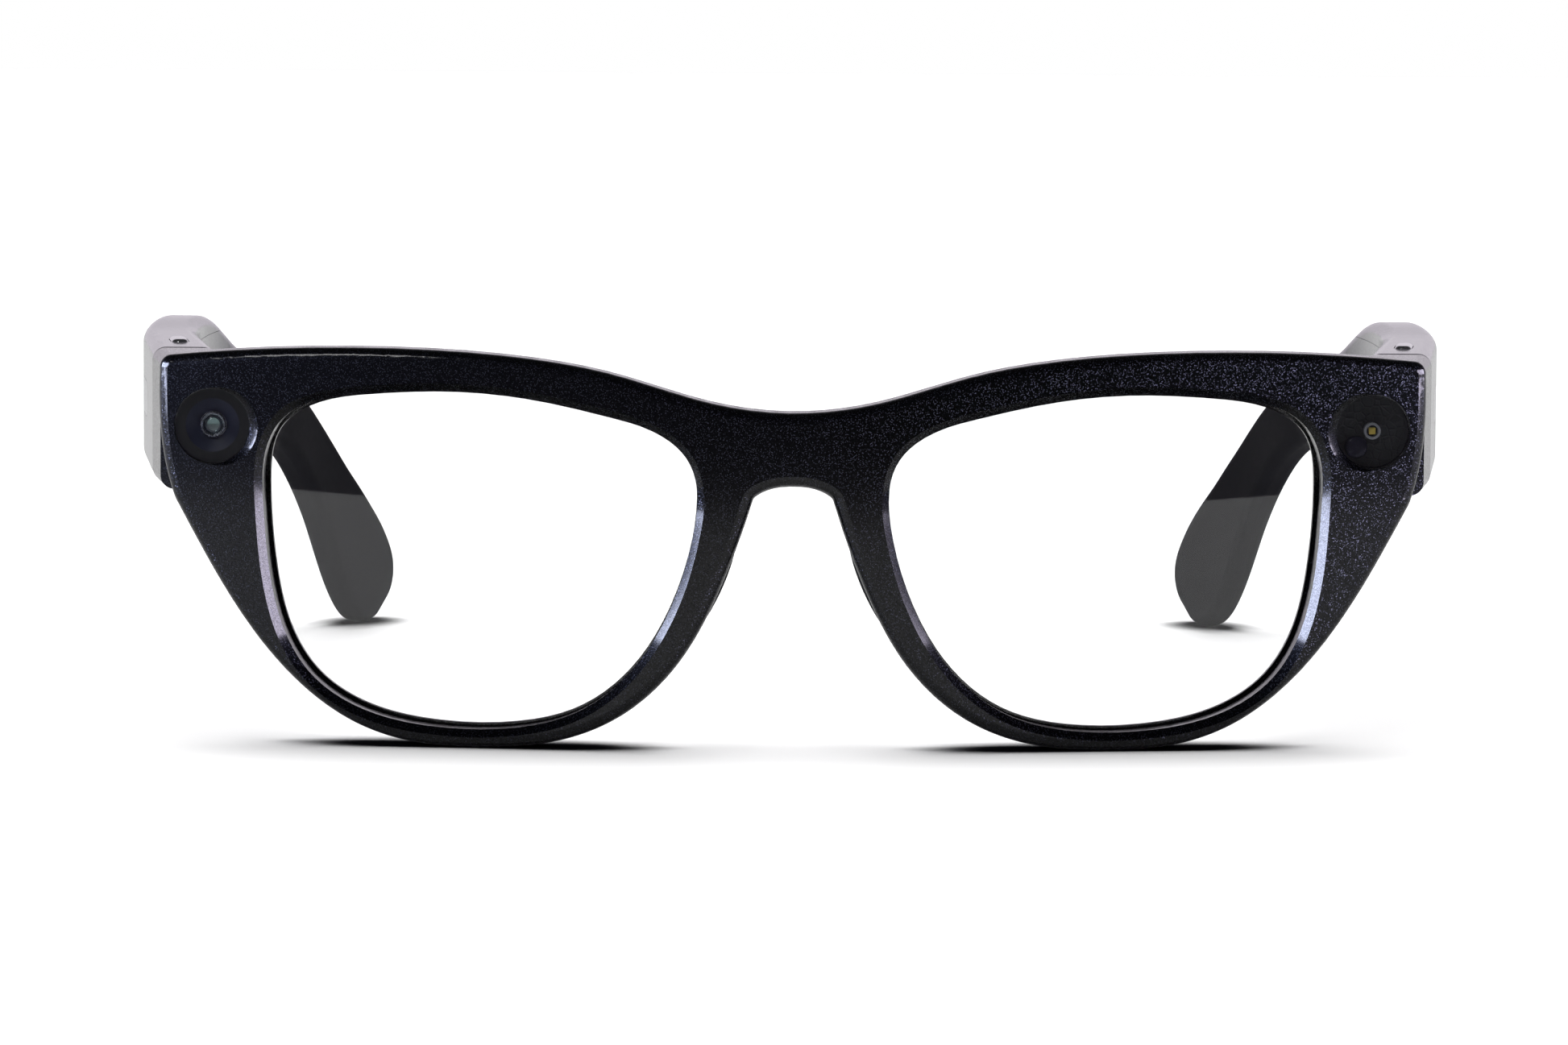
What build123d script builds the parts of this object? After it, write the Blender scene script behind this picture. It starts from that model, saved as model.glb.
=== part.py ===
from build123d import *
import os
from math import atan2, cos, degrees, sin, sqrt

# Smart glasses, millimetres. X runs across the face, Y from the front to the ear tips, Z up.
# The glasses stand on the rim bottoms and the temple tips, and the origin is the centre of their box.

# --- driving dimensions -------------------------------------------------------------------------
OVERALL_DEPTH = 150.0
FRONT_Y = -OVERALL_DEPTH / 2
WRAP_RADIUS = 340.0  # face-form curve of the whole front, seen from above
FRONT_SHELL = 3.1  # thickness of the front shell
FRONT_TOTAL = 5.4  # front shell and rear frame together
LENS_NEAR, LENS_FAR = 3.15, 4.75  # lens faces, measured back from the front surface
LENS_CENTRE_X = 37.0
SEAM = 0.05  # running gap between neighbouring parts
HALF_WIDTH = 75.9
MODULE_X, MODULE_Z, MODULE_RADIUS = 69.6, 38.0, 4.5  # round window in each front corner
MODULE_Y = 8.5  # window face, behind the foremost point
WINDOW_BACK = MODULE_Y + 0.6
MODULE_FLOOR = 12.3
FLARE_START, FLARE_DEPTH, FLARE_SLOPE = 7.3, 3.0, 0.85  # the hole widens forwards from here
CORNER_BACK = 13.2
GAP_FRONT, GAP_BACK = 22.8, 23.2  # the joint line between end piece and temple
PIVOT_X, PIVOT_D, PIVOT_Z = 69.9, 23.0, 38.2
BARREL_RADIUS, BARREL_POCKET, PIN_RADIUS = 1.9, 2.15, 0.75
POCKET_HEIGHT = 10.4
LEAF_SCREWS = (36.2, 40.2)
TIP_RADIUS = 6.8
TIP_START = 100.0
BUTTON_DEPTH = 35.5
ARM_WALL, ARM_ROUNDING, COVER_WALL = 1.2, 1.6, 1.7
COVER_START, COVER_LENGTH = 33.0, 63.0
COVER_Z, COVER_HEIGHT = 37.8, 12.4
COVER_SCREWS = ((58.8, 38.1), (94.6, 38.0))
SPEAKER_DEPTH, CHARGER_DEPTH = 87.7, 47.0

# Nose pad sections: depth, x, z, half width, half height.
NOSE_PAD = [(4.5, 10.2, 19.8, 2.0, 7.6), (8.5, 10.6, 19.7, 1.9, 7.4), (11.0, 10.9, 19.6, 1.0, 5.6)]

# Temple centre line: depth behind the front, x, z, thickness, height, lean in degrees.
ARM = [
    (GAP_BACK, 74.1, 38.2, 7.8, 16.4, 0),
    (29.0, 74.9, 38.2, 7.65, 16.4, 0),
    (35.5, 75.8, 38.2, 7.5, 16.4, 0),
    (42.0, 76.7, 38.2, 7.3, 16.4, 0),
    (60.0, 78.9, 38.3, 6.8, 16.4, 0),
    (76.0, 79.2, 38.55, 6.4, 16.5, 0),
    (90.0, 78.2, 38.0, 6.0, 14.8, 0),
    (104.0, 74.8, 35.1, 5.4, 10.2, 0),
    (116.0, 69.8, 31.6, 4.9, 8.8, 0),
    (126.0, 66.6, 26.1, 4.6, 8.8, -1),
    (135.0, 63.0, 17.2, 4.3, 10.6, -4),
    (143.58, 59.3, 6.81, 3.8, 13.6, -5),
]
# The rounded end: distance past the last section and the share of the thickness left there.
TIP_END = [(2.9, 1.0), (5.0, 0.94), (6.25, 0.72), (6.7, 0.45)]

# Outline of the front, right half seen from the front (x, z).
TOP = [(0, 40.4), (9.7, 41.5), (21.3, 44.8), (33, 46.8), (48.3, 47.65), (64, 47.3), (HALF_WIDTH, 46.3)]
SIDE = [(HALF_WIDTH, 46.3), (76.0, 40), (75.3, 33.5), (74.1, 29.2)]
LOWER = [(74.1, 29.2), (67.6, 17.8), (60, 8.2), (52.2, 2.6), (44.5, 0.35), (38, 0), (29, 0.65)]
LOWER += [(21.3, 3.4), (13.5, 10.4), (9.2, 18), (6.2, 25.6), (4.7, 30.2)]
ARCH = [(4.7, 30.2), (2.6, 31.3), (0, 31.6)]
CORNER_ROUNDING, JAW_ROUNDING, ARCH_ROUNDING = 1.5, 4.0, 1.0

# Clear opening of one lens at the rear lip (x, z).
OPENING = [(11.2, 31.2), (12.3, 34.6), (15.6, 37.4), (21.5, 39.4), (30.2, 41.3), (41, 42.3), (50.4, 41.9)]
OPENING += [(58, 40.4), (61.7, 37.7), (63, 31.5), (62.3, 21.5), (60.5, 14), (57, 8.5), (51, 4.7)]
OPENING += [(42.4, 2.8), (33.3, 2.75), (25.3, 4.7), (18.8, 9.7), (14.9, 15.7), (12.4, 22.3)]
OPENING_DEPTH = 7.2
LIP, OPENING_BEVEL, LENS_GROWTH = 0.4, 0.9, 0.9
EDGE_ROUNDING, SEAM_ROUNDING, REAR_ROUNDING = 1.3, 0.3, 0.8


# --- helpers ------------------------------------------------------------------------------------
def elevation(face, depth):
    """A front view sketch (x, z) stood up at a depth behind the foremost point."""
    return Pos(0, FRONT_Y + depth, 0) * (Plane.XZ * face)


def prism(face, near, far):
    return extrude(elevation(face, near), amount=far - near, dir=(0, 1, 0))


def side_prism(face, near, far):
    """A side view sketch (depth, z) extruded along X."""
    sheet = Pos(near, FRONT_Y, 0) * (Plane.YZ * face)
    return extrude(sheet, amount=far - near, dir=(1, 0, 0))


def wrap_slab(near, far):
    """The space between two depths behind the wrapped front surface."""
    sector = Circle(WRAP_RADIUS - near) - Circle(WRAP_RADIUS - far)
    sector &= Pos(0, -WRAP_RADIUS) * Rectangle(240, 160)
    return Pos(0, FRONT_Y + WRAP_RADIUS, -20) * extrude(sector, amount=90)


def mirrored(points):
    return [(-x, z) for x, z in reversed(points)]


def both(shape):
    return shape, mirror(shape, about=Plane.YZ)


def at(x, depth, z):
    return Pos(x, FRONT_Y + depth, z)


def block(x, depth, z):
    """A box given by its low and high x, depth and z."""
    sizes = [b - a for a, b in (x, depth, z)]
    return at(*[(a + b) / 2 for a, b in (x, depth, z)]) * Box(*sizes)


def forward_cylinder(x, z, near, far, radius):
    return prism(Pos(x, z) * Circle(radius), near, far)


def grown(curve, amount, count=28):
    """The closed curve moved outwards along its own normals."""
    places = [i / count for i in range(count)]
    points = [curve @ t + (curve % t).rotate(Axis.Z, 90) * amount for t in places]
    return Spline(points, periodic=True)


def upright(x, depth, z, height, radius):
    return at(x, depth, z) * Cylinder(radius, height)


def sideways(x, depth, z, length, radius):
    return at(x, depth, z) * (Rot(0, 90, 0) * Cylinder(radius, length))


# --- front --------------------------------------------------------------------------------------
def front_face():
    edges = [
        Spline(mirrored(TOP)[:-1] + TOP),
        Spline(SIDE),
        Spline(LOWER),
        Spline(ARCH + mirrored(ARCH)[1:]),
        Spline(mirrored(LOWER)),
        Spline(mirrored(SIDE)),
    ]
    face = make_face(edges)
    for places, radius in (
        ([TOP[-1]], CORNER_ROUNDING),
        ([LOWER[0]], JAW_ROUNDING),
        ([ARCH[0]], ARCH_ROUNDING),
    ):
        for x, z in places + mirrored(places):
            corner = face.vertices().sort_by_distance((x, z, 0))[0]
            face = fillet(corner, radius)
    return face


def lens_prism(growth, near=-3.0, far=20.0):
    """The lens outline as a prism square to the wrapped front at the lens centre."""
    curve = Spline(OPENING, periodic=True)
    if growth:
        curve = grown(curve, growth)
    lean = atan2(LENS_CENTRE_X, WRAP_RADIUS)
    across = Vector(-sin(lean), cos(lean), 0)
    start = elevation(make_face(curve), OPENING_DEPTH)
    back = extrude(start, amount=far - OPENING_DEPTH, dir=across)
    return back + extrude(start, amount=OPENING_DEPTH - near, dir=across * -1)


def flex_face(half_height):
    route = [(0, 37), (9, 37.6), (15, 40.6), (22, 42.9), (32, 44.9), (46, 45.7), (58, 45.3), (70.4, 44.2)]
    upper = [(x, z + half_height) for x, z in route]
    lower = [(x, z - half_height) for x, z in route]
    top, bottom = (Spline(mirrored(line)[:-1] + line) for line in (upper, lower))
    strip = make_face([top, bottom, Line(top @ 0, bottom @ 0), Line(top @ 1, bottom @ 1)])
    tab = Pos(MODULE_X, 43.4) * Rectangle(2 * half_height, 1.7)
    return strip + tab + mirror(tab, about=Plane.YZ)


def wrapped_face(solid, depth):
    """The largest face of a solid that lies at this depth behind the wrapped front."""
    radius = WRAP_RADIUS - depth
    found = [f for f in solid.faces() if f.geom_type == GeomType.CYLINDER and abs(f.radius - radius) < 0.01]
    return max(found, key=lambda f: f.area)


def window_hole(x):
    """A round hole that widens just under the front surface."""
    radius = MODULE_RADIUS + SEAM
    flare = loft([
        elevation(Pos(x, MODULE_Z) * Circle(radius + FLARE_SLOPE * FLARE_DEPTH), FLARE_START - FLARE_DEPTH),
        elevation(Pos(x, MODULE_Z) * Circle(radius), FLARE_START),
    ])
    return flare + forward_cylinder(x, MODULE_Z, FLARE_START, 20, radius)


def make_front_frame(openings):
    shell = prism(front_face(), -2, 20) & wrap_slab(0, FRONT_SHELL)
    shell = fillet(wrapped_face(shell, 0).edges(), EDGE_ROUNDING)
    for hole in openings:
        shell -= hole
    inner = [w.edges() for w in wrapped_face(shell, 0).inner_wires()]
    shell = chamfer([e for edges in inner for e in edges], OPENING_BEVEL)
    for side in (1, -1):
        shell -= window_hole(side * MODULE_X)
    return shell


def end_piece():
    corner = block((64.2, 75.7), (5, CORNER_BACK), (30.3, 46.2))
    corner = fillet(corner.edges().group_by(Axis.Y)[-1], 1.2) & prism(front_face(), 0, 20)
    sections = []
    for depth, x, thickness in ((9.5, 71.9, 7.6), (GAP_FRONT, 73.95, 8.1)):
        sections.append(elevation(Pos(x, 38.2) * RectangleRounded(thickness, 16.3, 1.6), depth))
    return (corner + loft(sections)) - wrap_slab(-5, FRONT_SHELL)


def make_rear_frame():
    body = prism(front_face(), -2, 20) & wrap_slab(FRONT_SHELL, FRONT_TOTAL)
    body = fillet(wrapped_face(body, FRONT_SHELL).edges(), SEAM_ROUNDING)
    body = fillet(wrapped_face(body, FRONT_TOTAL).edges(), REAR_ROUNDING)
    opening = lens_prism(0)
    seat = lens_prism(LENS_GROWTH + SEAM) & wrap_slab(FRONT_SHELL - 0.1, LENS_FAR + SEAM)
    for solid in (opening, seat):
        for one in both(solid):
            body -= one
    pocket = forward_cylinder(MODULE_X, MODULE_Z, 0, MODULE_FLOOR, MODULE_RADIUS + SEAM)
    cuts = pocket + upright(PIVOT_X, PIVOT_D, PIVOT_Z, POCKET_HEIGHT, BARREL_POCKET)
    cuts += block((60, 70.4 + SEAM), (14.2, 24), (34.0, 42.4))
    for z in LEAF_SCREWS:
        cuts += sideways(70.9, 17.5, z, 2.0, 0.8)
    for end, cut in zip(both(end_piece()), both(cuts)):
        body = body + end - cut
    body -= prism(flex_face(0.8), 0, 20) & wrap_slab(FRONT_SHELL - 0.1, 3.45)
    return body - block((-1.8, 1.8), (3.0, 4.7), (35.8, 38.2))


def make_lens():
    return lens_prism(LENS_GROWTH) & wrap_slab(LENS_NEAR, LENS_FAR)


def make_nose_pad():
    sections = []
    for depth, x, z, wide, tall in NOSE_PAD:
        sections.append(elevation(Pos(x, z) * (Rot(0, 0, 23.7) * Ellipse(wide, tall)), depth))
    return loft(sections) - wrap_slab(-5, FRONT_TOTAL + SEAM / 2)


def ring(x, z, near, far, outer, inner):
    return prism(Pos(x, z) * (Circle(outer) - Circle(inner)), near, far)


def round_window(x):
    """The glass disc in front of a module, with a fine chamfer round its face."""
    window = forward_cylinder(x, MODULE_Z, MODULE_Y, WINDOW_BACK, MODULE_RADIUS)
    return chamfer(window.edges().group_by(Axis.Y)[0], 0.12)


def make_camera():
    """Window, stepped bezel, metal barrel ring, black iris, domed lens element and sensor."""
    x, z, y = -MODULE_X, MODULE_Z, WINDOW_BACK
    barrel_back, barrel_radius, element_radius, pupil = y + 1.3, 1.55, 1.18, 0.6
    cone = loft([
        elevation(Pos(x, z) * Circle(3.25), y),
        elevation(Pos(x, z) * Circle(barrel_radius + SEAM), y + 1.1),
    ])
    bezel = forward_cylinder(x, z, y + 0.02, barrel_back, MODULE_RADIUS) - cone
    bezel -= forward_cylinder(x, z, y, barrel_back + 1, barrel_radius + SEAM)
    barrel = ring(x, z, y + 0.45, barrel_back, barrel_radius, element_radius + 0.03)
    barrel = chamfer(barrel.edges().group_by(Axis.Y)[0], 0.14)
    iris = ring(x, z, y + 0.95, barrel_back, element_radius, pupil)
    iris = chamfer(iris.edges().group_by(Axis.Y)[0].sort_by(SortBy.LENGTH)[0], 0.3)
    dome = Pos(x, FRONT_Y + y + 2.35, z) * Sphere(1.9)
    element = dome & forward_cylinder(x, z, y + 0.3, y + 0.92, element_radius)
    sensor = prism(Pos(x, z) * RectangleRounded(5.6, 5.6, 0.5), barrel_back + SEAM, MODULE_FLOOR)
    return {
        "camera_window": round_window(x),
        "camera_bezel": bezel,
        "camera_barrel": barrel,
        "camera_iris": iris,
        "camera_lens_element": element,
        "camera_sensor": sensor,
    }


def make_light_module():
    x, z, y = MODULE_X, MODULE_Z, MODULE_Y
    eye_x, eye_z = x - 1.9, z - 2.0
    board = forward_cylinder(x, z, y + 2.3, MODULE_FLOOR, MODULE_RADIUS - 0.1)
    sensor = forward_cylinder(eye_x, eye_z, y + 1.0, y + 2.3, 1.35)
    sensor = fillet(sensor.edges().group_by(Axis.Y)[0], 0.4)
    return {
        "led_window": round_window(x),
        "led_light_ring": ring(x, z, y + 0.9, y + 2.3, 1.0, 0.7),
        "led_emitter": prism(Pos(x, z) * RectangleRounded(0.8, 0.8, 0.1), y + 1.3, y + 2.3),
        "light_sensor": sensor,
        "led_board": board,
    }


# --- hinge --------------------------------------------------------------------------------------
def knuckle(low, high, hole):
    middle, height = (low + high) / 2, high - low
    return upright(PIVOT_X, PIVOT_D, middle, height, BARREL_RADIUS) - upright(
        PIVOT_X, PIVOT_D, middle, height + 1, hole
    )


def make_front_hinge():
    plate = block((69.2, 70.4), (14.3, PIVOT_D), (34.2, 42.2))
    plate -= upright(PIVOT_X, PIVOT_D, PIVOT_Z, 20, PIN_RADIUS)
    plate -= upright(PIVOT_X, PIVOT_D, PIVOT_Z, 3.1, BARREL_RADIUS + 0.15)
    for z in LEAF_SCREWS:
        plate -= sideways(69.8, 17.5, z, 4, 0.8)
    return plate + knuckle(33.6, 36.65, PIN_RADIUS) + knuckle(39.75, 42.8, PIN_RADIUS + 0.03)


def make_mount_screws():
    screws = []
    for z in LEAF_SCREWS:
        screw = sideways(70.5, 17.5, z, 2.7, 0.78) + sideways(68.8, 17.5, z, 0.75, 1.4)
        screws.append(screw - block((68, 68.7), (16, 19), (z - 0.15, z + 0.15)))
    return screws


def make_hinge_screw():
    screw = upright(PIVOT_X, PIVOT_D, 38.35, 9.3, PIN_RADIUS - 0.01)
    screw += upright(PIVOT_X, PIVOT_D, 43.05, 0.4, 1.3)
    return screw - block((68, 72), (22.85, 23.15), (43.1, 43.6))


def leaf_zone(near, far, half_height, gap):
    """A plate 0.3 below the inner face of the temple, between two depths."""
    plate = block((60, 90), (near, far), (PIVOT_Z - half_height, PIVOT_Z + half_height))
    return (plate & plan_region(0.3 - 3 * gap, -1)) - plan_region(1.5 + gap, -1)


def make_temple_hinge():
    plate = leaf_zone(PIVOT_D + 1, 32, 3.8, 0) - block((60, 80), (20, PIVOT_D + 2.7), (30, 36.8))
    plate -= block((60, 80), (20, PIVOT_D + 2.7), (39.6, 50))
    plate += block((70.2, 71.8), (PIVOT_D, PIVOT_D + 2), (36.8, 39.6))
    plate -= upright(PIVOT_X, PIVOT_D, PIVOT_Z, 20, PIN_RADIUS + 0.04)
    return plate + knuckle(36.8, 39.6, PIN_RADIUS + 0.04)


# --- temple -------------------------------------------------------------------------------------
def arm_rows(last):
    return [row for row in ARM if row[0] <= last]


def arm_stations():
    """The temple sections, with the half round of the tip added to the last one."""
    last, before = Vector(*ARM[-1][:3]), Vector(*ARM[-2][:3])
    onward = (last - before).normalized()
    thickness, lean = ARM[-1][3], ARM[-1][5]
    stations = list(ARM)
    for past, share in TIP_END:
        depth, x, z = last + onward * past
        height = 2 * sqrt(TIP_RADIUS**2 - past**2)
        stations.append((depth, x, z, thickness * share, height, lean))
    return stations


def arm_loft(thinner=0.0, lower=0.0, rounding=ARM_ROUNDING):
    """The whole temple as one skin over its sections, or a thinner and lower one inside it."""
    stations = arm_stations() if rounding == ARM_ROUNDING else arm_rows(116)
    route = Spline([(x, FRONT_Y + depth, z) for depth, x, z, *_ in stations])
    sections = []
    for depth, x, z, thickness, height, lean in stations:
        place = Vector(x, FRONT_Y + depth, z)
        along = Vector(0, 1, 0)
        if depth > GAP_BACK:
            along = route.tangent_at(route.param_at_point(place))
        outward = along.cross(Vector(0, 0, 1)).normalized().rotate(Axis((0, 0, 0), along), lean)
        plane = Plane(place, x_dir=outward, z_dir=along)
        corner = min(rounding, 0.42 * thickness, 0.42 * height)
        sections.append(plane * RectangleRounded(thickness - thinner, height - lower, corner))
    return loft(sections)


def plan_region(shift, side):
    """Everything outside a line that follows the temple, moved outwards by shift from one face.

    side is 1 for the outer face of the temple and -1 for its inner face."""
    rows = arm_rows(104)
    line = [(x + side * thickness / 2 + shift, FRONT_Y + depth) for depth, x, _, thickness, *_ in rows]
    curve = Spline(line)
    (x0, y0), (x1, y1) = line[0], line[-1]
    rest = Polyline((x1, y1), (110, y1), (110, y0 - 4), (x0 - 0.5, y0 - 4), (x0, y0))
    return extrude(make_face([curve, rest]), amount=60)


def cover_zone(gap):
    panel = RectangleRounded(COVER_LENGTH + 2 * gap, COVER_HEIGHT + 2 * gap, 2.4 + gap)
    outline = side_prism(Pos(COVER_START + COVER_LENGTH / 2, COVER_Z) * panel, 60, 95)
    return outline - plan_region(COVER_WALL + gap, -1)


def badge_zone(gap):
    pill = SlotOverall(19 + 2 * gap, 4.3 + 2 * gap)
    return side_prism(Pos(50, 38.6) * pill, 60, 95) & plan_region(-0.6 - gap, 1)


def on_arm(depth, z, inward=0.0):
    """A location on the temple's centre line: local X outwards, local Y along the temple."""
    for (d0, x0, *_), (d1, x1, *_) in zip(ARM, ARM[1:]):
        if d0 <= depth <= d1:
            break
    share = (depth - d0) / (d1 - d0)
    return at(x0 + share * (x1 - x0) - inward, depth, z) * Rot(0, 0, -degrees(atan2(x1 - x0, d1 - d0)))


def button_slot(gap, low, high):
    shape = Rot(0, 0, 90) * SlotOverall(6.6 + 2 * gap, 2.2 + 2 * gap)
    return on_arm(BUTTON_DEPTH, 0) * (Pos(0, 0, low) * extrude(shape, amount=high - low))


def make_button():
    cap = button_slot(0, 44.9, 46.75)
    cap = fillet(cap.edges().group_by(Axis.Z)[-1], 0.6)
    flange = button_slot(0.45, 44.35, 44.9)
    stem = on_arm(BUTTON_DEPTH, 44.1) * Box(1.4, 1.4, 0.6)
    return cap + flange + stem


def make_temple():
    whole = arm_loft()
    hollow = arm_loft(2 * ARM_WALL, 2.6, 0.8) & block((30, 110), (COVER_START + 0.6, TIP_START + 1), (0, 60))
    arm = whole & block((30, 110), (GAP_BACK, TIP_START), (0, 60))
    for depth, z in COVER_SCREWS:
        hollow -= on_arm(depth, z) * (Rot(0, 90, 0) * Cylinder(1.3, 20))
    housing = arm - hollow - cover_zone(SEAM) - badge_zone(SEAM)
    housing -= upright(PIVOT_X, PIVOT_D, PIVOT_Z, POCKET_HEIGHT, BARREL_POCKET)
    housing -= leaf_zone(20, 32 + SEAM, 3.8 + SEAM, SEAM) + block((60, 71.9), (20, 25.3), (36.7, 39.7))
    housing -= block((60, 90), (20, 32 + SEAM), (34.35, 42.05)) - plan_region(0.3, -1)
    housing -= button_slot(0.06, 44, 50)
    housing -= button_slot(0.55, 43.0, 45.0)
    housing -= on_arm(44, 31.2) * Cylinder(0.45, 4)
    cover = arm & cover_zone(0)
    cover -= on_arm(SPEAKER_DEPTH, 38, 2.6) * Box(4, 9.1, 3.1)
    for depth, z in COVER_SCREWS:
        housing -= cover_screw(depth, z, 0.02)
        cover -= cover_screw(depth, z, 0.04)
    tip = whole - block((30, 110), (0, TIP_START + 0.15), (-5, 60))
    tongue = arm_loft(2 * ARM_WALL + 0.1, 2.7, 0.8) & block((30, 110), (96.5, TIP_START + 1), (0, 60))
    return {
        "temple_housing": housing,
        "temple_cover": cover,
        "temple_tip": tip + tongue,
        "temple_hinge": make_temple_hinge(),
        "badge": arm & badge_zone(0),
    }


def cover_screw(depth, z, gap):
    """A countersunk screw through the cover; gap makes the hole for it."""
    along = [(3.05 - depth / 200, 0.5 + gap, 1.1 + gap), (1.4, 3.2 + gap, 0.57 + gap)]
    head, shank = (
        on_arm(depth, z, inward) * (Rot(0, 90, 0) * Cylinder(radius, length))
        for inward, length, radius in along
    )
    return head + shank


def make_speaker():
    body = on_arm(SPEAKER_DEPTH, 38) * Box(1.8, 10.8, 8)
    grille = on_arm(SPEAKER_DEPTH, 38, 2.45) * Box(0.6, 9, 3)
    for step in range(-4, 5):
        grille -= on_arm(SPEAKER_DEPTH, 38, 2.45) * (Pos(0, 0.95 * step, 0) * Box(2, 0.45, 2.2))
    return {"speaker": body, "speaker_grille": grille}


def make_cell(low, high):
    cell = on_arm((low + high) / 2, 38.1, -0.1) * Box(2.5, high - low, 11.6)
    return fillet(cell.edges().filter_by(Axis.Z), 0.6)


def board(low, high):
    return on_arm((low + high) / 2, 37.3, -1.2) * Box(0.8, high - low, 11.0)


def make_switch():
    body = on_arm(BUTTON_DEPTH, 42.7) * Box(1.3, 3.0, 1.2)
    return body + on_arm(BUTTON_DEPTH, 42.9) * Cylinder(0.5, 1.0)


def charging_pad(gap):
    return on_arm(CHARGER_DEPTH, 38, 3.4) * Box(1.0 + gap, 14 + 2 * gap, 5 + 2 * gap)


def charging_contact(step, gap):
    spot = on_arm(CHARGER_DEPTH, 38, 3.4 - gap) * Pos(0, 4 * step, 0)
    return spot * (Rot(0, 90, 0) * Cylinder(0.9 + gap, 0.8 + 2 * gap))


# --- everything ---------------------------------------------------------------------------------
def build():
    openings = []
    for one in both(lens_prism(LIP)):
        openings.append(one)
    parts = {"front_frame": make_front_frame(openings), "rear_frame": make_rear_frame()}
    parts["left_lens"], parts["right_lens"] = both(make_lens())
    parts["left_nose_pad"], parts["right_nose_pad"] = both(make_nose_pad())
    parts["front_flex_cable"] = prism(flex_face(0.7), 0, 20) & wrap_slab(3.2, 3.38)
    parts["bridge_microphone"] = block((-1.6, 1.6), (3.42, 4.6), (36.0, 38.0))
    parts["left_front_hinge"], parts["right_front_hinge"] = both(make_front_hinge())
    screws = make_mount_screws()
    parts["hinge_mount_screws"] = Compound(screws + [mirror(s, about=Plane.YZ) for s in screws])
    parts["hinge_screws"] = Compound(list(both(make_hinge_screw())))
    parts |= make_camera() | make_light_module()
    temple = make_temple() | make_speaker()
    temple["cover_screws"] = Compound([cover_screw(depth, z, 0) for depth, z in COVER_SCREWS])
    temple["battery"] = make_cell(60.6, 81.4)
    temple["microphone"] = on_arm(44, 33.6) * Box(1.4, 2.6, 1.2)
    for name, shape in temple.items():
        parts[f"left_{name}"], parts[f"right_{name}"] = both(shape)
    parts["power_button"], parts["capture_button"] = both(make_button())
    parts["power_switch"], parts["capture_switch"] = both(make_switch())
    parts["charging_board"] = board(36, 57)
    parts["main_board"] = mirror(board(34.2, 57), about=Plane.YZ)
    parts["processor_shield"] = mirror(on_arm(46, 38.5, -0.25) * Box(1.0, 12, 8), about=Plane.YZ)
    contacts = [charging_contact(step, 0) for step in (-1, 0, 1)]
    parts["charging_contacts"] = Compound(contacts)
    parts["charging_pad"] = charging_pad(0)
    parts["left_temple_cover"] -= charging_pad(SEAM)
    for step in (-1, 0, 1):
        parts["charging_pad"] -= charging_contact(step, 0.03)
    return parts


def main():
    os.makedirs("parts", exist_ok=True)
    for name, shape in build().items():
        export_step(shape, f"parts/{name}.step")


main()
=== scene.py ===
from math import radians

import bpy
from mathutils import Euler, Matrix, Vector


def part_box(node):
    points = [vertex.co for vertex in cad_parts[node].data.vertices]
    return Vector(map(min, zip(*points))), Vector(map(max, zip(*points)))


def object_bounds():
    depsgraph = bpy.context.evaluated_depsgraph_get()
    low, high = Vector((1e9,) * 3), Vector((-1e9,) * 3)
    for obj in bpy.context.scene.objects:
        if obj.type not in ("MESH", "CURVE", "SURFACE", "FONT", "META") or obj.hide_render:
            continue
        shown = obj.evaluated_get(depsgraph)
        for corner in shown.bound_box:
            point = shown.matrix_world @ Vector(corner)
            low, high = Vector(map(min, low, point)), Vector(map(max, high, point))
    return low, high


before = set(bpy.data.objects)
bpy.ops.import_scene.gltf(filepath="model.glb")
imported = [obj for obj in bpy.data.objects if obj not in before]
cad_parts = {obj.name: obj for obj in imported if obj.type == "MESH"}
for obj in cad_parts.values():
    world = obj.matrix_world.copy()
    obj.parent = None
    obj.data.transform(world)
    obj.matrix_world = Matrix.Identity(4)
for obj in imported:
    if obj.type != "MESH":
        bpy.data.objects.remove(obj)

cad_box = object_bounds()

# --- camera -------------------------------------------------------------------------------------
CAMERA_DISTANCE = 0.800  # in front of the front frame
CAMERA_X, CAMERA_HEIGHT = -0.0065, 0.1016
CAMERA_PITCH, CAMERA_YAW, CAMERA_ROLL = 5.295, -0.389, 0.353  # degrees
CAMERA_LENS, CAMERA_SENSOR = 155.26, 36.0  # millimetres
CAMERA_NEAR, CAMERA_FAR = 0.01, 20

# --- floor --------------------------------------------------------------------------------------
FLOOR_FRONT, FLOOR_BACK, FLOOR_HALF_WIDTH = -0.38, 3.0, 2.6
FLOOR_TONES = (0.90, 0.92)
FLOOR_MOTTLE, FLOOR_GRAIN = 8, 40  # cycles per metre
FLOOR_IN_REFLECTIONS = 0.5  # how bright it is there, as a share of its own tone
# The floor's colour holds a painted contact shadow: it darkens where ambient occlusion finds the glasses
# near.
PAINTED_SHADOW_REACH = 0.010  # how far from the glasses the painted shadow reaches
PAINTED_SHADOW_DARKEST, PAINTED_SHADOW_CLEAR = 0.56, 0.82  # open share of the space above the floor at which the painted shadow is darkest, and at which it is clear
PAINTED_SHADOW_CURVE = 1.5
PAINTED_SHADOW_COLOR = (0.01, 0.01, 0.012)
PAINTED_SHADOW_SAMPLES = 16

# --- surroundings, as reflections and soft light see them ---------------------------------------
SWEEP = (0.76, 0.715, 0.78)  # a white wall behind and beside the glasses
ROOM = (0.012, 0.012, 0.014)  # a dark room in front and overhead
# The sweep's share of what is seen in a direction, by how far that points back and how far up.
BACKWARD_RAMP = {"From Min": 0.45, "From Max": 0.95, "To Min": 0.06, "To Max": 1.0}
UPWARD_RAMP = {"From Min": 0.3, "From Max": 0.75, "To Min": 1.0, "To Max": 0.15}

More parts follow.
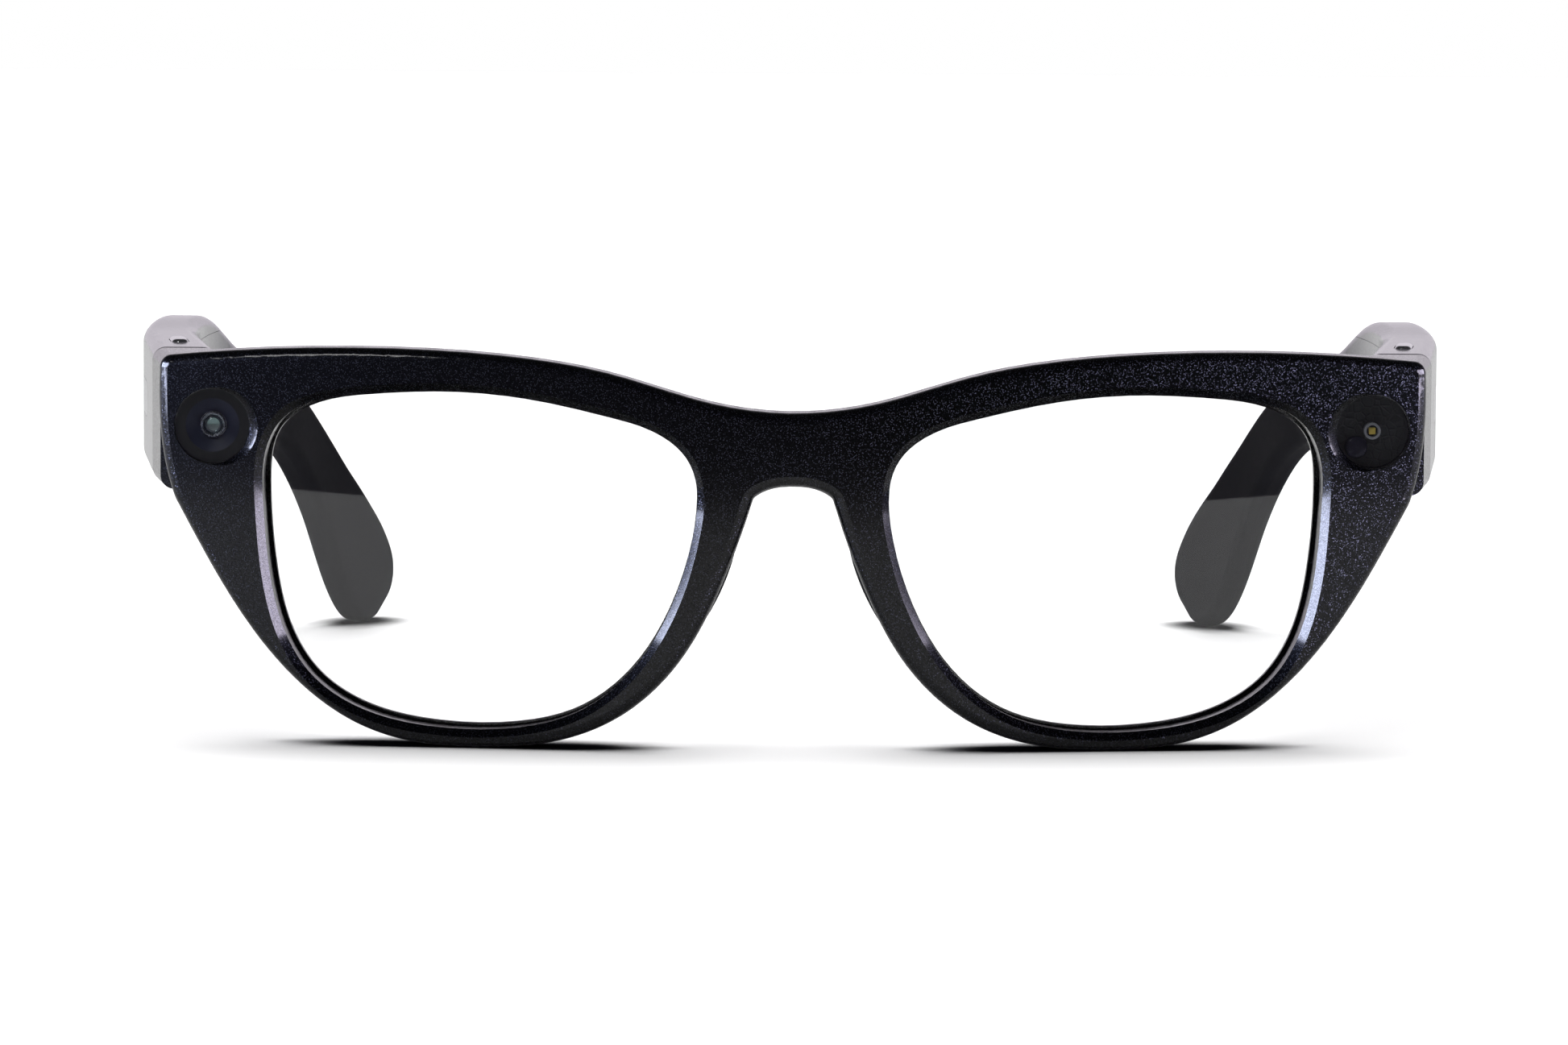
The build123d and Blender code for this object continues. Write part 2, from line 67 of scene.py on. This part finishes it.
# --- lights -------------------------------------------------------------------------------------
FLOOR_LIGHT = 4.5
FLOOR_LIGHT_TILT, FLOOR_LIGHT_SPREAD = 12.0, 60.0  # degrees; the tilt is from overhead to the back
SIDE_BOX_SIZE, SIDE_BOX_TARGET = (1.3, 0.7), (0, -0.07, 0.03)
SIDE_BOXES = {  # place, watts and colour
    "left_box": ((-1, -0.40, 0.13), 80, (0.70, 0.76, 1.0)),
    "right_box": ((1, -0.40, 0.13), 44, (0.86, 0.80, 1.0)),
}
KEY_BOX_PLACE, KEY_BOX_TARGET = (-0.45, -0.85, 0.75), (0, -0.05, 0.03)
KEY_BOX_SIZE, KEY_BOX_POWER = (0.25, 0.25), 1.3

# --- material scales, cycles per metre ----------------------------------------------------------
FLAKE_CELLS = 9500
GRAIN = 3500
CLOUDS = 60
BRUSHING = 5000
BOARD_TRACKS = 900
FLEX_TRACKS = 700

# --- sizes of surface detail, metres ------------------------------------------------------------
GRAIN_DEPTH, FINE_DEPTH, POLISH_DEPTH = 0.000012, 0.000004, 0.000001
BOARD_TRACK_DEPTH, FLEX_TRACK_DEPTH = 0.00003, 0.00002
NAVY_RADIUS, NAVY_EDGE = 0.0032, 0.0001  # the dark blue spot behind a round window

# The front and the temples are one flaked plastic. The temples are seen along their length, and
# their paler colours stand for the bright room that they mirror.
FRONT_PLASTIC = {
    "dark": (0.0012, 0.0013, 0.002),
    "flake": (0.032, 0.034, 0.045),
    "share": 0.18,
    "thin_coat": 0.5,
    "jitter": 0.35,
    "coat_ior": 1.48,
    "coat_roughness": 0.10,
}
TEMPLE_PLASTIC = {
    "dark": (0.07, 0.07, 0.088),
    "flake": (0.11, 0.108, 0.13),
    "share": 0.18,
    "thin_coat": 0.85,
    "jitter": 0.1,
    "coat_ior": 1.38,
    "coat_roughness": 0.10,
}
GLASS_SMEAR = 0.02  # the most that a smear adds to the roughness of glass

SOCKETS = {
    "color": "Base Color",
    "metallic": "Metallic",
    "roughness": "Roughness",
    "ior": "IOR",
    "transmission": "Transmission Weight",
    "coat": "Coat Weight",
    "coat_roughness": "Coat Roughness",
    "coat_ior": "Coat IOR",
    "specular": "Specular IOR Level",
    "sheen": "Sheen Weight",
}


# --- node helpers -------------------------------------------------------------------------------
def rgba(red, green, blue):
    return (red, green, blue, 1.0)


def add_node(tree, kind, inputs=(), **settings):
    """A new node; inputs maps socket names or numbers to values or to other nodes' outputs."""
    made = tree.nodes.new(kind)
    for key, value in settings.items():
        setattr(made, key, value)
    for key, value in dict(inputs).items():
        if isinstance(value, bpy.types.NodeSocket):
            tree.links.new(value, made.inputs[key])
        else:
            made.inputs[key].default_value = value
    return made


def blend(tree, share, first, second):
    """A colour between two others; 6, 7 and 2 are the mix node's colour sockets."""
    inputs = {0: share, 6: first, 7: second}
    return add_node(tree, "ShaderNodeMix", inputs, data_type="RGBA").outputs[2]


def seen_directly(tree):
    """1 where a surface is looked at straight or through glass, 0 in reflections and soft light."""
    ray = add_node(tree, "ShaderNodeLightPath").outputs
    depths = {0: ray["Diffuse Depth"], 1: ray["Glossy Depth"]}
    bounces = add_node(tree, "ShaderNodeMath", depths, operation="ADD").outputs[0]
    return add_node(tree, "ShaderNodeMath", {0: bounces, 1: 0.5}, operation="LESS_THAN").outputs[0]


class Finish:
    """A procedural material on one Principled shader, with patterns in the frame's own metres."""

    def __init__(self, name, **settings):
        self.material = bpy.data.materials.new(name)
        self.material.use_nodes = True
        self.tree = self.material.node_tree
        self.shader = self.tree.nodes["Principled BSDF"]
        for key, value in settings.items():
            if isinstance(value, tuple):
                value = rgba(*value)
            self.shader.inputs[SOCKETS[key]].default_value = value
        self.place = self.node("ShaderNodeTexCoord").outputs["Object"]

    def node(self, kind, inputs=(), **settings):
        return add_node(self.tree, kind, inputs, **settings)

    def drive(self, key, output):
        self.tree.links.new(output, self.shader.inputs[SOCKETS[key]])

    def face(self, normal):
        """Gives the shader a normal of its own."""
        self.tree.links.new(normal, self.shader.inputs["Normal"])

    def vector(self, operation, *inputs):
        made = self.node("ShaderNodeVectorMath", enumerate(inputs), operation=operation)
        return made.outputs["Vector"]

    def scaled(self, vector, factor):
        inputs = {0: vector, "Scale": factor}
        return self.node("ShaderNodeVectorMath", inputs, operation="SCALE").outputs["Vector"]

    def noise(self, scale, detail=3.0, stretch=(1, 1, 1)):
        place = self.vector("MULTIPLY", self.place, stretch)
        inputs = {"Vector": place, "Scale": scale, "Detail": detail}
        return self.node("ShaderNodeTexNoise", inputs).outputs["Fac"]

    def cells(self, scale, feature="F1"):
        inputs = {"Vector": self.place, "Scale": scale}
        return self.node("ShaderNodeTexVoronoi", inputs, feature=feature).outputs

    def levels(self, value, low, high, start=0.0, end=1.0):
        """Maps value from start..end to low..high, held at both ends."""
        inputs = {"Value": value, "From Min": start, "From Max": end, "To Min": low, "To Max": high}
        return self.node("ShaderNodeMapRange", inputs).outputs["Result"]

    def mix(self, share, first, second):
        return blend(self.tree, share, first, second)

    def bump(self, height, depth):
        """Raises the surface by this depth in metres where height is 1."""
        self.face(self.node("ShaderNodeBump", {"Height": height, "Distance": depth}).outputs["Normal"])


# --- materials ----------------------------------------------------------------------------------
def flaked(name, dark, flake, share, thin_coat, jitter, **settings):
    """Dark plastic full of fine tilted metal flakes, under a clear coat that is thinner in places.

    share is the part of the cells that holds a flake, and jitter is how far those flakes tilt.
    """
    finish = Finish(name, metallic=1.0, **settings)
    cells = finish.cells(FLAKE_CELLS)
    random = finish.node("ShaderNodeSeparateColor", {"Color": cells["Color"]}).outputs
    shown = finish.levels(random["Red"], 0.0, 1.0, start=1.0 - share, end=1.0 - 0.6 * share)
    cloud = finish.levels(finish.noise(CLOUDS), 0.85, 1.15)
    tone = finish.levels(random["Blue"], 0.35, 1.0)
    finish.drive("color", finish.mix(shown, finish.scaled(dark, cloud), finish.scaled(flake, tone)))
    finish.drive("coat", finish.levels(random["Green"], thin_coat, 1.0))
    finish.drive("roughness", finish.levels(finish.noise(GRAIN), 0.30, 0.46))
    centred = finish.vector("SUBTRACT", cells["Color"], (0.5, 0.5, 0.5))
    tilt = finish.scaled(centred, finish.levels(shown, 0.02, jitter))
    normal = finish.node("ShaderNodeNewGeometry").outputs["Normal"]
    finish.face(finish.vector("NORMALIZE", finish.vector("ADD", normal, tilt)))
    return finish.material


def satin(name, low, high, roughness, depth=GRAIN_DEPTH, **settings):
    """Moulded plastic or rubber with a fine spark-eroded grain."""
    finish = Finish(name, **settings)
    finish.drive("color", finish.mix(finish.noise(CLOUDS, detail=5.0), rgba(*low), rgba(*high)))
    uneven = finish.noise(GRAIN / 3)
    finish.drive("roughness", finish.levels(uneven, roughness - 0.06, roughness + 0.06))
    finish.bump(finish.noise(GRAIN, detail=4.0), depth)
    return finish.material


def brushed(name, color, roughness, stretch):
    """Metal with fine parallel scratches, along the axis where stretch is small."""
    finish = Finish(name, metallic=1.0)
    scratches = finish.noise(BRUSHING, detail=2.0, stretch=stretch)
    darker = tuple(0.75 * part for part in color)
    finish.drive("color", finish.mix(scratches, rgba(*darker), rgba(*color)))
    finish.drive("roughness", finish.levels(scratches, roughness - 0.07, roughness + 0.09))
    finish.bump(scratches, FINE_DEPTH)
    return finish.material


def clear_glass(name, tint, ior=1.5):
    """Polished glass with the faintest smear in its roughness."""
    finish = Finish(name, color=tint, ior=ior, transmission=1.0)
    smear = finish.noise(CLOUDS * 3)
    finish.drive("roughness", finish.levels(smear, 0.0, GLASS_SMEAR, start=0.45, end=0.8))
    return finish.material


def printed_ring(name):
    """Navy inside a sharp circle and black outside it, round the axis of each round window."""
    low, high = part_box("camera_window")
    centre = (low + high) / 2
    finish = Finish(name, roughness=0.4)
    parts = finish.node("ShaderNodeSeparateXYZ", {0: finish.place}).outputs
    aside = finish.node("ShaderNodeMath", {0: parts["X"]}, operation="ABSOLUTE").outputs[0]
    level = finish.node("ShaderNodeCombineXYZ", {"X": aside, "Y": parts["Z"]}).outputs[0]
    spot = {0: level, 1: (abs(centre.x), centre.z, 0)}
    radius = finish.node("ShaderNodeVectorMath", spot, operation="DISTANCE").outputs["Value"]
    start, end = NAVY_RADIUS - NAVY_EDGE, NAVY_RADIUS + NAVY_EDGE
    outside = finish.levels(radius, 0.0, 1.0, start=start, end=end)
    navy = finish.mix(finish.noise(CLOUDS * 8), rgba(0.010, 0.013, 0.034), rgba(0.014, 0.018, 0.046))
    finish.drive("color", finish.mix(outside, navy, rgba(0.0025, 0.0028, 0.004)))
    finish.bump(finish.noise(GRAIN, detail=4.0), FINE_DEPTH)
    return finish.material


def circuit_board(name):
    """Black solder mask over raised tracks."""
    finish = Finish(name)
    edges = finish.cells(BOARD_TRACKS, feature="DISTANCE_TO_EDGE")["Distance"]
    track = finish.levels(edges, 1.0, 0.0, start=0.0, end=0.12)
    finish.drive("color", finish.mix(track, rgba(0.002, 0.0022, 0.003), rgba(0.006, 0.006, 0.007)))
    finish.drive("roughness", finish.levels(finish.noise(GRAIN), 0.3, 0.5))
    finish.bump(track, BOARD_TRACK_DEPTH)
    return finish.material


def flex_film(name):
    """Amber film with parallel tracks."""
    finish = Finish(name)
    inputs = {"Vector": finish.place, "Scale": FLEX_TRACKS}
    track = finish.node("ShaderNodeTexWave", inputs, bands_direction="Z").outputs["Fac"]
    finish.drive("color", finish.mix(track, rgba(0.2, 0.09, 0.015), rgba(0.42, 0.2, 0.04)))
    finish.drive("roughness", finish.levels(finish.noise(GRAIN), 0.25, 0.4))
    finish.bump(track, FLEX_TRACK_DEPTH)
    return finish.material


def slot_name(material):
    """A material's name without the number that Blender adds when the name is taken."""
    return material.name.split(".")[0]


def make_materials():
    """Every material slot of the record, by name."""
    made = [
        flaked("front_shell", **FRONT_PLASTIC),
        flaked("rear_shell", **FRONT_PLASTIC),
        flaked("temple_shell", **TEMPLE_PLASTIC),
        flaked("temple_cover", **TEMPLE_PLASTIC),
        satin("temple_tip", (0.006, 0.006, 0.009), (0.009, 0.009, 0.013), 0.65, FINE_DEPTH, specular=0.04),
        clear_glass("lens", (0.995, 0.998, 1.0)),
        satin("nose_pad", (0.026, 0.026, 0.03), (0.04, 0.04, 0.046), 0.55, sheen=0.2),
        flex_film("flex"),
        brushed("metal_can", (0.62, 0.62, 0.64), 0.3, (1, 0.04, 1)),
        brushed("hinge_steel", (0.42, 0.42, 0.44), 0.28, (1, 1, 0.05)),
        brushed("screw_steel", (0.55, 0.55, 0.57), 0.22, (1, 0.1, 1)),
        clear_glass("window_glass", (0.86, 0.87, 0.92)),
        printed_ring("camera_bezel"),
        brushed("camera_ring", (0.55, 0.57, 0.62), 0.25, (1, 0.1, 1)),
        clear_glass("camera_glass", (0.7, 0.86, 0.8), ior=1.7),
        satin("light_guide", (0.26, 0.27, 0.28), (0.34, 0.35, 0.36), 0.3),
        satin("led_chip", (0.72, 0.5, 0.06), (0.9, 0.72, 0.16), 0.35),
        satin("sensor_glass", (0.003, 0.003, 0.009), (0.006, 0.005, 0.016), 0.12, POLISH_DEPTH),
        circuit_board("circuit_board"),
        satin("switch", (0.08, 0.08, 0.085), (0.13, 0.13, 0.135), 0.4),
        satin("charging_pad", (0.016, 0.016, 0.018), (0.026, 0.026, 0.028), 0.35),
        brushed("gold_contact", (0.86, 0.6, 0.24), 0.2, (1, 1, 0.1)),
        brushed("button_metal", (0.78, 0.78, 0.8), 0.16, (1, 0.05, 1)),
        brushed("badge_metal", (0.74, 0.74, 0.77), 0.18, (1, 0.05, 1)),
        satin("speaker", (0.02, 0.02, 0.02), (0.035, 0.035, 0.035), 0.5),
        brushed("grille", (0.14, 0.14, 0.15), 0.35, (1, 0.08, 1)),
        brushed("battery_foil", (0.55, 0.56, 0.6), 0.3, (1, 0.3, 1)),
    ]
    return {slot_name(material): material for material in made}


def dress_nodes(materials):
    """Gives each CAD node the material of its own slot, and lets light in through small windows."""
    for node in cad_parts.values():
        for slot in node.material_slots:
            slot.material = materials[slot_name(slot.material)]
    for name in ("camera_window", "camera_lens_element", "led_window"):
        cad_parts[name].visible_shadow = False


# --- studio -------------------------------------------------------------------------------------
def place_in_scene(name, data):
    made = bpy.data.objects.new(name, data)
    bpy.context.scene.collection.objects.link(made)
    return made


def make_camera():
    data = bpy.data.cameras.new("camera")
    data.lens, data.sensor_width = CAMERA_LENS, CAMERA_SENSOR
    data.clip_start, data.clip_end = CAMERA_NEAR, CAMERA_FAR
    camera = place_in_scene("camera", data)
    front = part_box("front_frame")[0].y
    camera.location = (CAMERA_X, front - CAMERA_DISTANCE, CAMERA_HEIGHT)
    tilt = Euler((radians(90 - CAMERA_PITCH), 0, radians(CAMERA_YAW)))
    roll = Euler((0, 0, radians(CAMERA_ROLL)))
    camera.rotation_euler = (tilt.to_matrix() @ roll.to_matrix()).to_euler()
    bpy.context.scene.camera = camera


def floor_finish():
    """A pale floor with a painted shadow under the glasses, and dimmer in reflections."""
    finish = Finish("floor", specular=0.0)
    dull, bright = (rgba(tone, tone, tone) for tone in FLOOR_TONES)
    pale = finish.mix(finish.noise(FLOOR_MOTTLE), dull, bright)
    reach = {"Distance": PAINTED_SHADOW_REACH}
    # painted shadow: ambient occlusion darkens the floor's colour near the glasses
    space = finish.node("ShaderNodeAmbientOcclusion", reach, samples=PAINTED_SHADOW_SAMPLES).outputs["AO"]
    open_share = finish.levels(space, 0.0, 1.0, start=PAINTED_SHADOW_DARKEST, end=PAINTED_SHADOW_CLEAR)
    curve = {0: open_share, 1: PAINTED_SHADOW_CURVE}
    shadow_free_share = finish.node("ShaderNodeMath", curve, operation="POWER").outputs[0]
    direct = finish.mix(shadow_free_share, rgba(*PAINTED_SHADOW_COLOR), pale)
    mirrored = finish.scaled(pale, FLOOR_IN_REFLECTIONS)
    finish.drive("color", finish.mix(seen_directly(finish.tree), mirrored, direct))
    finish.drive("roughness", finish.levels(finish.noise(FLOOR_GRAIN), 0.8, 0.95))
    return finish.material


def make_floor():
    level = cad_box[0].z
    corners = [
        (-FLOOR_HALF_WIDTH, FLOOR_FRONT, level),
        (FLOOR_HALF_WIDTH, FLOOR_FRONT, level),
        (FLOOR_HALF_WIDTH, FLOOR_BACK, level),
        (-FLOOR_HALF_WIDTH, FLOOR_BACK, level),
    ]
    mesh = bpy.data.meshes.new("floor")
    mesh.from_pydata(corners, [], [(0, 1, 2, 3)])
    mesh.materials.append(floor_finish())
    floor = place_in_scene("floor", mesh)
    return floor


def light_only(light, lit):
    """Lets a light fall on these objects and on nothing else."""
    group = bpy.data.collections.new(f"lit_by_{light.name}")
    for one in lit:
        group.objects.link(one)
    light.light_linking.receiver_collection = group


def soft_box(name, location, target, size, energy, color=(1, 1, 1)):
    data = bpy.data.lights.new(name, "AREA")
    data.shape, data.size, data.size_y = "RECTANGLE", *size
    data.energy, data.color = energy, color
    box = place_in_scene(name, data)
    box.location = location
    aim = Vector(target) - Vector(location)
    box.rotation_euler = aim.to_track_quat("-Z", "Y").to_euler()
    return box


def floor_light(floor):
    """A wide soft light from overhead that falls on the floor only."""
    data = bpy.data.lights.new("floor_light", "SUN")
    data.energy, data.angle = FLOOR_LIGHT, radians(FLOOR_LIGHT_SPREAD)
    sun = place_in_scene("floor_light", data)
    sun.rotation_euler = (radians(-FLOOR_LIGHT_TILT), 0, 0)
    light_only(sun, [floor])


def make_lights(floor):
    floor_light(floor)
    front = [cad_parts[name] for name in ("front_frame", "rear_frame")]
    for name, (place, energy, color) in SIDE_BOXES.items():
        light_only(soft_box(name, place, SIDE_BOX_TARGET, SIDE_BOX_SIZE, energy, color), front)
    soft_box("key_box", KEY_BOX_PLACE, KEY_BOX_TARGET, KEY_BOX_SIZE, KEY_BOX_POWER)


def smooth_ramp(tree, value, ramp):
    inputs = {"Value": value, **ramp}
    made = add_node(tree, "ShaderNodeMapRange", inputs, interpolation_type="SMOOTHSTEP")
    return made.outputs["Result"]


def make_world():
    """Plain white where it is looked at; the sweep and the dark room in reflections."""
    world = bpy.data.worlds.new("studio")
    bpy.context.scene.world = world
    world.use_nodes = True
    tree = world.node_tree
    direction = add_node(tree, "ShaderNodeTexCoord").outputs["Generated"]
    parts = add_node(tree, "ShaderNodeSeparateXYZ", {0: direction}).outputs
    backward = smooth_ramp(tree, parts["Y"], BACKWARD_RAMP)
    upward = smooth_ramp(tree, parts["Z"], UPWARD_RAMP)
    sweep = add_node(tree, "ShaderNodeMath", {0: backward, 1: upward}, operation="MULTIPLY").outputs[0]
    mirrored = blend(tree, sweep, rgba(*ROOM), rgba(*SWEEP))
    shown = blend(tree, seen_directly(tree), mirrored, rgba(1.0, 1.0, 1.0))
    tree.links.new(shown, tree.nodes["Background"].inputs["Color"])


dress_nodes(make_materials())
make_camera()
make_world()
make_lights(make_floor())
bpy.context.scene.view_settings.view_transform = "Standard"
